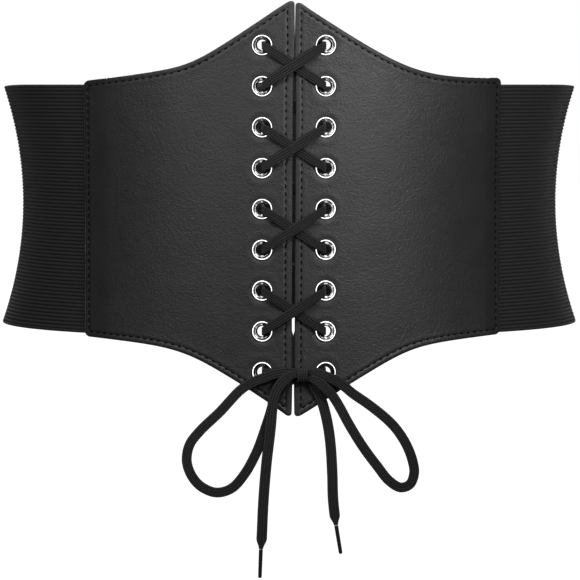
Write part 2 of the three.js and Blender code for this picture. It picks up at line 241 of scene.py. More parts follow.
def sweep(name, points, across, widths, thicknesses, material, closed=False):
    """A flat braid along points. across is the direction of its width at each point. Its weave counts
    ridges around and millimetres along."""
    samples = 28
    # The higher, the flatter the braid and the sharper its sides
    flatness = 7
    turn = np.linspace(0, np.pi, samples, endpoint=False)
    upper = -np.cos(turn)
    share = np.concatenate([upper, -upper])
    grooves = (0.5 + 0.5 * np.cos(2 * np.pi * lace_ridges * (share + 1) / 2)) ** 2
    height = np.sqrt(1 - np.abs(share) ** flatness) * (1 - ridge_depth * grooves)
    height[samples:] *= -1
    tangents = np.gradient(points, axis=0)
    if closed:
        tangents = np.roll(points, -1, axis=0) - np.roll(points, 1, axis=0)
    tangents /= np.linalg.norm(tangents, axis=1, keepdims=True)
    normals = np.cross(across, tangents)
    rings = (points[:, None]
             + across[:, None] * (share * widths[:, None] / 2)[..., None]
             + normals[:, None] * (height * thicknesses[:, None] / 2)[..., None])
    count, size = rings.shape[:2]
    index = np.arange(count * size).reshape(count, size)
    if closed:
        index = np.vstack([index, index[:1]])
    following = np.roll(index, -1, axis=1)
    quads = np.stack([index[:-1], following[:-1], following[1:], index[1:]], -1).reshape(-1, 4)
    step = np.linalg.norm(np.diff(points, axis=0, append=points[:1]), axis=1)
    along = np.concatenate([[0], np.cumsum(step)])[:index.shape[0]] / mm
    half_turn = (upper + 1) / 2
    around = np.concatenate([half_turn, half_turn + 1, [2]]) * lace_ridges
    low_u, high_u = around[:-1], around[1:]
    rows = index.shape[0] - 1
    corners = np.empty((rows, size, 4, 2))
    corners[..., 0, 0] = corners[..., 3, 0] = low_u
    corners[..., 1, 0] = corners[..., 2, 0] = high_u
    corners[..., 0, 1] = corners[..., 1, 1] = along[:rows, None]
    corners[..., 2, 1] = corners[..., 3, 1] = along[1:rows + 1, None]
    faces = quads.tolist()
    weave = corners.reshape(-1, 2)
    if not closed:
        faces += [index[0, ::-1].tolist(), index[-1].tolist()]
        weave = np.concatenate([weave, np.zeros((2 * size, 2))])
    return add_piece(name, rings, faces, material, weave)


# Curves

def curve_through(points, spacing):
    """A centripetal Catmull-Rom curve through points, at an even spacing, with the distance along it
    of each chosen point, and its length."""
    chosen = np.asarray(points, float)
    padded = np.vstack([2 * chosen[0] - chosen[1], chosen, 2 * chosen[-1] - chosen[-2]])
    samples = 20
    fine = [chosen[:1]]
    marks = [0]
    for a, b, c, d in zip(padded, padded[1:], padded[2:], padded[3:]):
        knots = np.cumsum([0.0] + [math.sqrt(np.linalg.norm(q - p)) for p, q in ((a, b), (b, c), (c, d))])
        t = np.linspace(knots[1], knots[2], samples + 1)[1:, None]

        def mix(p, q, low, high):
            return ((high - t) * p + (t - low) * q) / (high - low)

        first = mix(a, b, knots[0], knots[1])
        second = mix(b, c, knots[1], knots[2])
        third = mix(c, d, knots[2], knots[3])
        fine.append(mix(mix(first, second, knots[0], knots[2]), mix(second, third, knots[1], knots[3]),
                        knots[1], knots[2]))
        marks.append(marks[-1] + samples)
    fine = np.vstack(fine)
    travelled = np.concatenate([[0], np.cumsum(np.linalg.norm(np.diff(fine, axis=0), axis=1))])
    total = travelled[-1]
    even = np.linspace(0, total, max(round(total / spacing), 2) + 1)
    line = np.stack([np.interp(even, travelled, fine[:, k]) for k in range(3)], axis=1)
    return line, travelled[marks], total


def unit(vectors):
    return vectors / np.linalg.norm(vectors, axis=-1, keepdims=True)


def smooth_step(share):
    share = np.clip(share, 0, 1)
    return share * share * (3 - 2 * share)


def hump(distance, width):
    """A smooth hump, 1 high at distance 0."""
    return np.exp(-(distance / width) ** 2)


def turned_edge(distance, radius):
    """How far a face sinks at a distance from its turned edge."""
    inside = np.clip(1 - distance / radius, 0, 1)
    return -radius * (1 - np.sqrt(1 - inside * inside))


def edged(low, high, low_steps, high_steps, count):
    """Places from low to high: in steps at both ends, and evenly between."""
    middle = np.linspace(low + low_steps[-1], high - high_steps[-1], count)[1:-1]
    return np.concatenate([low + low_steps, middle, high - high_steps[::-1]])


def circle(size, right, up):
    """Points of a circle of radius 1 round the origin."""
    turn = np.linspace(0, 2 * np.pi, size, endpoint=False)
    return np.outer(np.cos(turn), right) + np.outer(np.sin(turn), up)


# Materials

def new_material(name, colour, roughness, specular=0.5, **more):
    """A material and its shader. more gives values for the shader's other sockets."""
    material = bpy.data.materials.new(name)
    material.use_nodes = True
    shader = material.node_tree.nodes["Principled BSDF"]
    shader.inputs["Base Color"].default_value = (*colour, 1)
    shader.inputs["Roughness"].default_value = roughness
    shader.inputs["Specular IOR Level"].default_value = specular
    for key, value in more.items():
        shader.inputs[key.replace("_", " ")].default_value = value
    return material, shader


def tie(material, value, socket):
    """Give a socket another node's output, or a plain value."""
    if isinstance(value, bpy.types.NodeSocket):
        material.node_tree.links.new(value, socket)
    else:
        socket.default_value = value


def node(material, kind, **inputs):
    made = material.node_tree.nodes.new(kind)
    for key, value in inputs.items():
        tie(material, value, made.inputs[key])
    return made


def maths(material, operation, first, second=0.0):
    made = node(material, "ShaderNodeMath")
    made.operation = operation
    tie(material, first, made.inputs[0])
    tie(material, second, made.inputs[1])
    return made.outputs[0]


def colour_between(material, shader, factor, low, high):
    """Colour the surface between low and high."""
    made = node(material, "ShaderNodeMix", Factor=factor)
    made.data_type = "RGBA"
    for socket, colour in zip([s for s in made.inputs if s.type == "RGBA"], (low, high)):
        socket.default_value = (*colour, 1)
    tie(material, [s for s in made.outputs if s.type == "RGBA"][0], shader.inputs["Base Color"])


def spread(material, value, low, high):
    """A value of 0 to 1, moved to between low and high."""
    made = node(material, "ShaderNodeMapRange", Value=value)
    made.inputs["To Min"].default_value = low
    made.inputs["To Max"].default_value = high
    return made.outputs[0]


def object_noise(material, scale, detail=2.0, stretch=(1, 1, 1)):
    place = node(material, "ShaderNodeTexCoord").outputs["Object"]
    moved = node(material, "ShaderNodeMapping", Vector=place)
    moved.inputs["Scale"].default_value = stretch
    made = node(material, "ShaderNodeTexNoise", Vector=moved.outputs[0], Scale=scale, Detail=detail)
    return made.outputs[0]


def bump(material, shader, height, distance, strength=1.0, under=None):
    made = node(material, "ShaderNodeBump", Height=height, Distance=distance, Strength=strength)
    if under is not None:
        tie(material, under, made.inputs["Normal"])
    tie(material, made.outputs[0], shader.inputs["Normal"])
    return made.outputs[0]


def weave_place(material):
    """Where a point lies on its cloth, as the two parts of its weave."""
    place = node(material, "ShaderNodeUVMap")
    place.uv_map = "weave"
    split = node(material, "ShaderNodeSeparateXYZ", Vector=place.outputs[0])
    return split.outputs[0], split.outputs[1]


def leather_material():
    material, shader = new_material("faux_leather", (0.022, 0.022, 0.023), roughness=0.44, specular=0.42)
    mottle = object_noise(material, scale=90, detail=4)
    colour_between(material, shader, mottle, (0.010, 0.010, 0.011), (0.020, 0.020, 0.021))
    smear = object_noise(material, scale=260, detail=3)
    tie(material, spread(material, smear, 0.38, 0.56), shader.inputs["Roughness"])
    place = node(material, "ShaderNodeTexCoord").outputs["Object"]
    pebbles = node(material, "ShaderNodeTexVoronoi", Vector=place, Scale=1500.0)
    grain = bump(material, shader, pebbles.outputs["Distance"], distance=0.12 * mm, strength=0.8)
    creases = object_noise(material, scale=620, detail=5)
    bump(material, shader, creases, distance=0.25 * mm, strength=0.7, under=grain)
    return material


def elastic_material():
    material, shader = new_material("ribbed_elastic", (0.012, 0.012, 0.013), roughness=0.82, specular=0.25,
                                    Sheen_Weight=0.08, Sheen_Roughness=0.4)
    along, ribs = weave_place(material)
    # Painted shade: the colour is darker in the grooves between the ribs and lighter on their crests, with a
    # random mottle over it
    rise = maths(material, "ABSOLUTE", maths(material, "SINE", maths(material, "MULTIPLY", ribs, math.pi)))
    mottle = spread(material, object_noise(material, scale=900, stretch=(1, 1, 4)), 0.6, 1.0)
    lit = maths(material, "MULTIPLY", mottle, rise)
    colour_between(material, shader, lit, (0.003, 0.003, 0.003), (0.027, 0.027, 0.028))
    yarn_pitch = 0.34
    yarn = maths(material, "SINE", maths(material, "MULTIPLY", along, 2 * math.pi / yarn_pitch))
    bump(material, shader, yarn, distance=0.03 * mm, strength=0.6)
    return material


def braid_material():
    material, shader = new_material("braided_lace", (0.014, 0.014, 0.015), roughness=0.8, specular=0.18,
                                    Sheen_Weight=0.05, Sheen_Roughness=0.4)
    across, along = weave_place(material)
    plait_pitch = 1.1
    plait_slant = 1.5
    crown_fall = 1.8
    cell = maths(material, "FRACT", across)
    lean = maths(material, "ABSOLUTE", maths(material, "SUBTRACT", cell, 0.5))
    rows = maths(material, "DIVIDE", along, plait_pitch)
    turns = maths(material, "ADD", rows, maths(material, "MULTIPLY", lean, plait_slant))
    chevron = maths(material, "SINE", maths(material, "MULTIPLY", turns, 2 * math.pi))
    # Painted shade: each plait is darker towards its edges and in the hollows of its chevrons, and lighter
    # on its crown
    crown = maths(material, "SUBTRACT", 1.0, maths(material, "MULTIPLY", lean, crown_fall))
    painted_chevron_shade = maths(material, "MULTIPLY", maths(material, "ADD", chevron, 1.0), 0.5)
    lit = maths(material, "MULTIPLY", crown, spread(material, painted_chevron_shade, 0.3, 1.0))
    colour_between(material, shader, lit, (0.001, 0.001, 0.001), (0.044, 0.044, 0.045))
    bump(material, shader, chevron, distance=0.15 * mm)
    return material


def thread_material():
    material, shader = new_material("sewing_thread", (0.006, 0.006, 0.006), roughness=0.8, specular=0.08)
    twist = object_noise(material, scale=3500, detail=1)
    colour_between(material, shader, twist, (0.002, 0.002, 0.002), (0.005, 0.005, 0.005))
    bump(material, shader, twist, distance=0.03 * mm, strength=0.5)
    return material


def chrome_material():
    material, shader = new_material("eyelet_chrome", (0.75, 0.75, 0.76), roughness=0.08, Metallic=1.0)
    wear = object_noise(material, scale=900, detail=4)
    tie(material, spread(material, wear, 0.05, 0.16), shader.inputs["Roughness"])
    tone = object_noise(material, scale=300)
    colour_between(material, shader, tone, (0.70, 0.70, 0.71), (0.80, 0.80, 0.81))
    return material


def aglet_material():
    material, shader = new_material("aglet_film", (0.006, 0.006, 0.006), roughness=0.2,
                                    Coat_Weight=0.6, Coat_Roughness=0.08)
    smear = object_noise(material, scale=700, stretch=(1, 1, 0.2))
    tie(material, spread(material, smear, 0.14, 0.3), shader.inputs["Roughness"])
    colour_between(material, shader, smear, (0.005, 0.005, 0.005), (0.009, 0.009, 0.009))
    return material


# Lace routes

def eyelet_height(side_name, row):
    low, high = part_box(f"eyelet_{side_name}_{row + 1}")
    return (low[2] + high[2]) / 2


eyelet_z = [eyelet_height("left", row) for row in range(eyelet_rows)]
knot_low, knot_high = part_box("bow_knot")
knot_centre = (np.asarray(knot_low) + np.asarray(knot_high)) / 2
knot_half_length = (knot_high[0] - knot_low[0]) / 2

# How the lace climbs out of a hole over the rim: distances as shares of the rim's radius, heights as
# shares of the height at which it clears the rim, and widths as shares of its own
lace_rise = [(0.1, 0.2, 0.76), (0.3, 0.8, 0.79), (0.7, 1.0, 0.9)]
hole_shift = 0.9 * mm
hole_width = 0.74
rim_height = 2.4 * mm
rest_height = clearance + lace_thickness / 2
under_height = rest_height + 0.1 * mm
over_height = under_height + lace_thickness + 0.2 * mm
cross_reach = 4.5 * mm


def lace_point(x, z, height, in_front):
    return front_points(x, z, leather_outer + height if in_front else leather_inner - height)


def hole_station(side, row):
    x = side * (eyelet_x - hole_shift)
    return front_points(x, eyelet_z[row], (leather_inner + leather_outer) / 2), hole_width


def climb(start, towards, in_front):
    """The lace from inside a hole out over the rim."""
    stations = []
    for along, height, width in lace_rise:
        at = start + towards * (along * eyelet_rim_radius)
        stations.append((lace_point(at[0], at[1], height * rim_height, in_front), width))
    return stations


def lace_span(start, end, in_front, cross_height):
    """One span of lace between two holes, without the stations inside the holes."""
    start, end = np.array(start), np.array(end)
    towards = unit(end - start)
    middle = (start + end) / 2
    crossing = [(lace_point(*(middle + towards * along), cross_height, in_front), 1.0)
                for along in (-cross_reach, 0, cross_reach)]
    return climb(start, towards, in_front) + crossing + climb(end, -towards, in_front)[::-1]


def lace_half(top_side):
    """The strand that starts at the top hole of one side and goes down, changing sides at each row."""
    cross_height = over_height if top_side > 0 else under_height
    stations = [hole_station(top_side, 0)]
    for row in range(1, eyelet_rows):
        side = top_side if row % 2 == 0 else -top_side
        start = (-side * eyelet_x, eyelet_z[row - 1])
        end = (side * eyelet_x, eyelet_z[row])
        stations += lace_span(start, end, row % 2 == 1, cross_height)
        stations.append(hole_station(side, row))
    return stations


def lace_to_knot(side):
    """From the lowest hole into the knot, under the bow."""
    hole = np.array([side * eyelet_x, eyelet_z[-1]])
    stations = climb(hole, np.array([-side, 0.0]), True)
    past_rim = hole[0] - side * 1.1 * eyelet_rim_radius
    knot_side = knot_centre[0] + side * knot_half_length
    entry_z = knot_centre[2] + 1.5 * mm
    run = [(0, rim_height - clearance, 1.0), (0.5, rest_height, 0.85), (1, rest_height, 0.6)]
    for share, height, width in run:
        x = past_rim + (knot_side - past_rim) * share
        z = hole[1] + (entry_z - hole[1]) * share
        stations.append((lace_point(x, z, height, True), width))
    inside = knot_centre + np.array([0.2 * side * knot_half_length, 0.8 * mm, 0.5 * mm])
    return stations + [(inside, 0.5)]


# Bow. The routes are chosen points, in millimetres from the knot's centre: to the right, towards the
# viewer and up.
loop_routes = {"left": [
    (-2.5, 0.1, 1.6), (-4.4, 0.1, 1.7), (-8.5, 0.5, 1.5), (-14.4, 0.9, 0.5),
    (-18.9, 0.7, -1.2), (-22.6, 0.4, -2.6), (-29.7, -0.4, -6.9), (-40.2, -0.8, -18.0),
    (-49.9, -0.8, -27.3), (-54.9, -0.8, -34.0), (-56.3, -0.8, -41.9), (-53.9, -0.8, -49.2),
    (-49.1, -0.8, -54.6), (-41.9, -0.8, -57.4), (-34.6, -0.8, -55.4), (-28.2, -0.8, -48.4),
    (-22.5, -0.8, -38.0), (-19.5, -0.8, -30.2), (-17.5, -0.8, -24.2), (-15.8, -0.8, -19.0),
    (-14.4, -0.8, -14.2), (-11.8, -0.8, -9.0), (-8.1, -1.1, -4.8), (-5.2, -1.5, -2.7),
    (-3.9, -1.6, -2.0), (-2.5, -1.6, -1.7),
], "right": [
    (2.6, 1.2, -1.5), (3.9, 1.4, -1.6), (6.9, 2.6, -2.6), (9.9, 2.9, -5.0),
    (12.9, 2.8, -7.9), (15.3, 2.4, -11.0), (18.4, 1.8, -16.2), (21.9, 1.2, -22.8),
    (29.2, 0.6, -34.8), (36.4, 0.2, -44.6), (42.1, 0.0, -51.7), (47.8, -0.2, -55.1),
    (52.3, -0.4, -53.6), (54.4, -0.6, -48.0), (53.4, -0.8, -41.4), (50.1, -0.8, -33.3),
    (45.2, -0.8, -26.0), (40.4, -0.8, -21.1), (32.3, -0.8, -14.6), (24.2, -0.3, -8.9),
    (19.4, 0.3, -4.9), (13.0, 0.8, -1.2), (7.5, 0.6, 0.8), (4.4, 0.1, 1.5),
    (2.5, 0.1, 1.6),
]}
tail_routes = {"left": [
    (-2.6, 2.1, 0.6), (-3.9, 2.3, 0.6), (-5.7, 2.6, 0.2), (-8.1, 2.8, -1.4),
    (-10.3, 2.9, -3.6), (-12.2, 2.9, -6.3), (-13.6, 2.9, -9.4), (-14.4, 2.8, -12.9),
    (-14.9, 2.8, -17.2), (-15.6, 2.6, -25.7), (-17.6, 2.0, -43.0), (-19.1, 1.2, -62.0),
    (-19.9, 0.8, -79.4), (-20.3, 0.6, -84.9),
], "right": [
    (2.5, -1.6, -1.7), (3.6, -1.6, -1.9), (5.4, -1.4, -4.6), (7.9, -1.2, -9.0),
    (10.0, -1.2, -14.8), (12.0, -1.2, -22.8), (13.5, -1.2, -32.7), (14.5, -1.2, -47.8),
    (14.9, -1.2, -60.7), (15.9, -1.2, -70.2), (16.4, -1.2, -73.6),
]}
# The way that each tip points: to the right, towards the viewer and up
aglet_runs = {"left": (-0.5, 0, -14.1), "right": (2.3, 0, -14.1)}


def bow_point(place):
    right, forward, up = place
    return knot_centre + np.array([right, -forward, up]) * mm


def into_knot(place):
    """A point further inside the knot than a route's end."""
    right, forward, up = place
    return bow_point((0.2 * right, 0.6 * forward, 0.8 * up))


def bow_width(distance, total, is_tail):
    """Share of the full width: gathered into the knot, and drawn in towards an aglet."""
    gathered, gather_length = 0.5, 9 * mm
    drawn_in, drawn_length = 0.42, 5 * mm
    start = gathered + (1 - gathered) * smooth_step(distance / gather_length)
    low, reach = (drawn_in, drawn_length) if is_tail else (gathered, gather_length)
    end = low + (1 - low) * smooth_step((total - distance) / reach)
    return np.minimum(start, end)


def flat_to_front(tangents):
    return unit(np.cross(tangents, (0, -1, 0)))


def upright(tangents):
    up = np.array([0, 0, 1.0])
    return unit(up - tangents * (tangents @ up)[:, None])


def add_bow_piece(name, route, width, material, node_name, tips=()):
    """A tail, which has a tip, or a loop, which goes back into the knot."""
    is_tail = len(tips) > 0
    points = [into_knot(route[0])] + [bow_point(place) for place in route]
    if not is_tail:
        points.append(into_knot(route[-1]))
    line, _, total = curve_through(points, bow_spacing)
    distance = np.linspace(0, total, len(line))
    tangents = unit(np.gradient(line, axis=0))
    widths = width * bow_width(distance, total, is_tail)
    thicknesses = lace_thickness * (0.82 + 0.18 * widths / width)
    piece = sweep(name, line, flat_to_front(tangents), widths, thicknesses, material)
    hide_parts(node_name)
    return piece


def add_aglet(side_name, route, material):
    """A rolled plastic tip, with a round end and a lip where the braid goes in."""
    right, forward, up = aglet_runs[side_name]
    run = unit(np.array([right, -forward, up]))
    length = 14 * mm
    start = bow_point(route[-1]) + run * clearance
    profile = [(0.86, 0), (0.98, 0.012), (1.0, 0.03), (0.97, 0.3), (0.95, 0.7), (0.92, 0.95),
               (0.84, 0.985), (0.6, 1.0)]
    direction = Vector(run)
    across = direction.orthogonal().normalized()
    ring = circle(24, across, direction.cross(across))
    points = [start]
    for share, along in profile:
        points += list(start + np.array(direction) * along * length + ring * share * aglet_radius)
    points.append(start + np.array(direction) * length)
    faces = ring_faces(len(profile), len(ring))
    piece = add_piece(f"lace_tip_{side_name}", points, faces, material)
    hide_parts(f"aglet_{side_name}")
    return piece


def ring_faces(rings, size):
    """Faces of a turned form whose first and last points lie on its axis."""
    faces = [(0, 1 + (k + 1) % size, 1 + k) for k in range(size)]
    for ring in range(rings - 1):
        low, high = 1 + ring * size, 1 + (ring + 1) * size
        faces += [(low + k, low + (k + 1) % size, high + (k + 1) % size, high + k) for k in range(size)]
    last = 1 + (rings - 1) * size
    faces += [(last + k, last + (k + 1) % size, last + size) for k in range(size)]
    return faces


def add_lacing(material):
    stations = lace_to_knot(-1)[::-1] + lace_half(-1)[::-1]
    stations += lace_span((-eyelet_x, eyelet_z[0]), (eyelet_x, eyelet_z[0]), False, rest_height)
    stations += lace_half(1) + lace_to_knot(1)
    points = [point for point, _ in stations]
    line, places, total = curve_through(points, lace_spacing)
    shares = [share for _, share in stations]
    widths = lace_width * np.interp(np.linspace(0, total, len(line)), places, shares)
    pulled_flat = 0.85
    thicknesses = np.full(len(line), pulled_flat * lace_thickness)
    tangents = unit(np.gradient(line, axis=0))
    piece = sweep("lacing", line, upright(tangents), widths, thicknesses, material)
    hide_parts("lace")


def add_knot(material):
    """One turn of lace round the middle of the bow."""
    turn = np.linspace(0, 2 * np.pi, 72, endpoint=False)
    half_depth = knot_half_depth - lace_thickness / 2
    half_height = knot_half_height - lace_thickness / 2
    squareness = 0.8
    depth = np.sign(np.cos(turn)) * np.abs(np.cos(turn)) ** squareness * half_depth
    height = np.sign(np.sin(turn)) * np.abs(np.sin(turn)) ** squareness * half_height
    lean = 0.12
    line = knot_centre + np.stack([lean * height, -depth, height], axis=1)
    across = np.tile([1.0, 0.0, 0.0], (len(turn), 1))
    widths = np.full(len(turn), bow_lace_width)
    thicknesses = np.full(len(turn), lace_thickness)
    piece = sweep("knot_wrap", line, across, widths, thicknesses, material, closed=True)
    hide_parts("bow_knot")
    return piece


# Panels

def corner_drop(distance, radius):
    inside = np.maximum(radius - distance, 0)
    return radius - np.sqrt(np.maximum(radius * radius - inside * inside, 0))


def edge_height(edge, x, rounded=True):
    """Height of a panel's top or bottom edge at a distance x from the centre line."""
    away = math.copysign(1, edge["peak"])
    slope = edge["peak"] - edge["slope"] * x
    level = edge["side"] + edge["side_slope"] * (panel_side_x - x)
    bend = np.hypot(slope - level, edge["softness"]) / 2
    drop = corner_drop(x - gap_ends / 2, peak_radius) + corner_drop(panel_side_x - x, corner_radius)
    return (slope + level) / 2 + away * (bend - (drop if rounded else 0))


def edge_slope(edge, x):
    step = 0.1 * mm
    return (edge_height(edge, x + step, False) - edge_height(edge, x - step, False)) / (2 * step)


def gap_edge(z, widths=gap_widths):
    heights, across = np.transpose(widths) * mm
    return np.interp(z, heights, across) / 2


def leaned(side, x, z):
    """Where a point of a panel lies across the belt: askew at the centre line, and straight past it."""
    return side * x + gap_lean * z * smooth_step(1 - (x - gap_edge(z)) / lean_reach)


# Places of a panel's rows and columns near an edge, as distances from it: close at the turned edge and
# round the stitching
edge_steps = np.array([0, 0.08, 0.25, 0.55, 0.95, 1.4, 1.85, 2.2, 2.5, 2.75, 3.0, 3.25, 3.5, 3.8, 4.2, 4.7,
                       5.3, 6.0, 7.0]) * mm
# A surface at the panel's side is seen this much shorter along X than it is
side_shortening = 0.79
panel_rows = 190
panel_columns = 100


def stitch_runs(side_name):
    """The four lines of stitching round a panel, as lists of (x, z) from corner to corner."""
    centre = front_inset[side_name]
    side_x = panel_side_x - stitch_inset["side"] * side_shortening
    samples = 400
    x = np.linspace(2 * mm, panel_side_x, 2 * samples)
    runs = {}
    for name, edge in (("top", panel_top[side_name]), ("bottom", panel_bottom[side_name])):
        slope = edge_slope(edge, x)
        inward = -math.copysign(1, edge["peak"])
        length = np.hypot(slope, 1)
        inset = stitch_inset[name]
        line = np.stack([x - inward * slope / length * inset,
                         edge_height(edge, x, False) + inward / length * inset], axis=1)
        kept = (line[:, 0] > centre) & (line[:, 0] < side_x)
        runs[name] = line[kept]
    corners = {name: (line[0, 1], line[-1, 1]) for name, line in runs.items()}
    z = np.linspace(corners["bottom"][0], corners["top"][0], samples)
    runs["centre"] = np.stack([centre + gap_edge(z) - gap_ends / 2, z], axis=1)
    z = np.linspace(corners["bottom"][1], corners["top"][1], samples)
    runs["side"] = np.stack([np.full_like(z, side_x), z], axis=1)
    return runs


def run_length(run):
    """Distance travelled along a run, over the leather's face."""
    places = front_points(run[:, 0], run[:, 1], leather_outer)
    return np.concatenate([[0], np.cumsum(np.linalg.norm(np.diff(places, axis=0), axis=1))])


def run_phase(run, part, value):
    """Turns of the stitching's repeat where the run's x, part 0, or z, part 1, has this value."""
    travelled = run_length(run)
    count = round(travelled[-1] / stitch_pitch)
    return np.interp(value, run[:, part], travelled / travelled[-1] * count)


def rolled_back(side_name, from_side):
    """How far the face sinks towards the panel's side seam, where the elastic pulls it back."""
    roll = side_roll[side_name]
    return roll["depth"] * (1 - smooth_step(from_side / roll["width"]))


def panel_relief(side_name, x, z):
    """Height of the leather's face over its plain wall: turned edge, stitched groove, puckers, dents
    round the eyelets and the roll at the side. Before it, the height of the turned edge alone."""
    top, bottom = panel_top[side_name], panel_bottom[side_name]
    from_top = (edge_height(top, x) - z) / np.hypot(edge_slope(top, x), 1)
    from_bottom = (z - edge_height(bottom, x)) / np.hypot(edge_slope(bottom, x), 1)
    from_centre = x - gap_edge(z)
    from_side = (panel_side_x - x) / side_shortening
    nearest = np.minimum.reduce([from_top, from_bottom, front_sharpness * from_centre, from_side])
    edge = turned_edge(nearest, leather_turn_radius)
    runs = stitch_runs(side_name)
    offsets = np.stack([from_top - stitch_inset["top"], from_bottom - stitch_inset["bottom"],
                        from_centre - front_inset[side_name] + gap_ends / 2,
                        from_side - stitch_inset["side"]])
    phases = np.stack([run_phase(runs[name], part, (x, z)[part])
                       for name, part in (("top", 0), ("bottom", 0), ("centre", 1), ("side", 1))])
    nearest_run = np.argmin(offsets, axis=0)
    off = np.take_along_axis(offsets, nearest_run[None], 0)[0]
    phase = np.take_along_axis(phases, nearest_run[None], 0)[0]
    pulled = 0.5 + 0.5 * np.cos(2 * np.pi * phase)
    groove_depth, inner_puff, outer_puff = 0.26 * mm, 0.13 * mm, 0.12 * mm
    groove = -groove_depth * hump(off, 0.5 * mm) * (0.45 + 0.55 * pulled)
    puff = inner_puff * hump(off - 1.5 * mm, 1.0 * mm) * (1 - 0.7 * pulled)
    puff += outer_puff * hump(off + 1.3 * mm, 0.8 * mm) * (1 - 0.5 * pulled)
    dent_depth, swell_height = 0.3 * mm, 0.1 * mm
    dents = np.zeros_like(x)
    for row_z in eyelet_z:
        away = np.hypot(x - eyelet_x, z - row_z)
        dents -= dent_depth * hump(away - 0.9 * eyelet_rim_radius, 1.1 * mm)
        dents += swell_height * hump(away - 1.5 * eyelet_rim_radius, 1.6 * mm)
    return edge, edge + groove + puff + dents - rolled_back(side_name, from_side)


def soft_waves(places):
    """Slow swells of the leather, a fraction of a millimetre high."""
    flat = places.reshape(-1, 3)
    swells = [0.22 * noise.noise(Vector((p[0] * 30, p[1] * 30, p[2] * 12)))
              + 0.09 * noise.noise(Vector((p[0] * 90, p[1] * 90 + 7, p[2] * 60))) for p in flat]
    return np.array(swells).reshape(places.shape[:2]) * mm


def panel_grid(side_name):
    """Plan of a panel: distance from the centre line and height of each point, row by row."""
    top, bottom = panel_top[side_name], panel_bottom[side_name]
    columns = edged(gap_ends / 2, panel_side_x, edge_steps, edge_steps * side_shortening, panel_columns)
    low = edge_height(bottom, columns)
    high = edge_height(top, columns)
    low_steps = edge_steps[:, None] * np.hypot(edge_slope(bottom, columns), 1)
    high_steps = edge_steps[::-1, None] * np.hypot(edge_slope(top, columns), 1)
    middle = np.linspace(0, 1, panel_rows)[1:-1, None]
    first, last = low + low_steps[-1], high - high_steps[0]
    z = np.vstack([low + low_steps, first + (last - first) * middle, high - high_steps])
    x = np.broadcast_to(columns, z.shape)
    return x + (gap_edge(z) - gap_ends / 2) * (1 - x / panel_side_x), z


def punch_holes(x, z):
    """Which cells of the plan stay round the eyelets' holes. Points round a hole move onto its edge."""
    centre_x = (x[:-1, :-1] + x[1:, 1:]) / 2
    centre_z = (z[:-1, :-1] + z[1:, 1:]) / 2
    kept = np.ones(centre_x.shape, bool)
    x, z = x.copy(), z.copy()
    for row_z in eyelet_z:
        removed = np.hypot(centre_x - eyelet_x, centre_z - row_z) < panel_hole_radius
        kept &= ~removed
        padded = np.pad(removed, 1)
        touching = padded[:-1, :-1].astype(int) + padded[1:, :-1] + padded[:-1, 1:] + padded[1:, 1:]
        rim = (touching > 0) & (touching < 4)
        away = np.hypot(x - eyelet_x, z - row_z)
        scale = np.where(rim, panel_hole_radius / np.maximum(away, 1e-6), 1)
        x = eyelet_x + (x - eyelet_x) * scale
        z = row_z + (z - row_z) * scale
    return x, z, kept


def add_panel(side_name, material):
    side = sides[side_name]
    x, z, kept = punch_holes(*panel_grid(side_name))
    edge, relief = panel_relief(side_name, x, z)
    across = leaned(side, x, z)
    waves = soft_waves(front_points(across, z, 0.0))
    outer = front_points(across, z, leather_outer + relief + waves)
    closing_reach = 2 * mm
    closing = gap_edge(z) - gap_edge(z, gap_back_widths)
    closing = closing * smooth_step(1 - (x - gap_edge(z)) / closing_reach)
    inner = front_points(across - side * closing, z, leather_inner - edge)
    weave = np.stack([x / mm, z / mm], axis=-1)
    piece = add_wall(f"leather_panel_{side_name}", outer, inner, material, weave, kept,
                     flip=side < 0)
    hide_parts(f"panel_{side_name}")


# Stitching

def thread_loop(start, end, normal, height):
    """One stitch: a thread that comes out of one needle hole, lies on the leather and goes into the
    next. Returns its points and faces."""
    stations = 7
    size = 6
    sunk_share = 0.75
    end_thickness = 0.7
    along = unit(end - start)
    ring = circle(size, np.cross(normal, along), normal)
    points = [start - normal * height]
    for share in np.linspace(0, 1, stations):
        rise = math.sin(math.pi * share) ** 0.5
        centre = start + (end - start) * share + normal * (height * (rise - sunk_share))
        radius = thread_radius * (end_thickness + 0.3 * rise)
        points += list(centre + ring * radius)
    points.append(end - normal * height)
    return points, ring_faces(stations, size)


def add_stitching(name, runs, place, material):
    """Stitches along runs of (x, z). place(x, z) gives a point of the face that they lie on, and the
    way that it faces."""
    points, faces = [], []
    rise = 0.34 * mm
    for run in runs:
        travelled = run_length(run)
        count = round(travelled[-1] / stitch_pitch)
        pitch = travelled[-1] / count
        for k in range(count):
            middle = (k + 0.5) * pitch
            ends = []
            for reach in (-stitch_length / 2, stitch_length / 2):
                x = np.interp(middle + reach, travelled, run[:, 0])
                z = np.interp(middle + reach, travelled, run[:, 1])
                ends.append(place(x, z))
            (start, normal), (end, _) = ends
            stitch_points, stitch_faces = thread_loop(start, end, normal, rise)
            base = len(points)
            points += stitch_points
            faces += [tuple(base + corner for corner in face) for face in stitch_faces]
    add_piece(name, points, faces, material)


def add_panel_stitching(side_name, material):
    side = sides[side_name]
    groove = 0.3 * mm
    runs = list(stitch_runs(side_name).values())

    def on_face(x, z):
        across = leaned(side, x, z)
        sunk = groove + rolled_back(side_name, (panel_side_x - x) / side_shortening)
        return front_points(across, z, leather_outer - sunk), np.array(front_normal(across, z))

    def on_back(x, z):
        across = leaned(side, x, z)
        return front_points(across, z, leather_inner + 0.1 * mm), -np.array(front_normal(across, z))

    add_stitching(f"panel_stitching_{side_name}", runs, on_face, material)
    add_stitching(f"panel_back_stitching_{side_name}", runs, on_back, material)


# Elastic

rib_low, rib_high = elastic_low + selvedge_height, elastic_high - selvedge_height
rib_count = round((rib_high - rib_low) / rib_pitch)


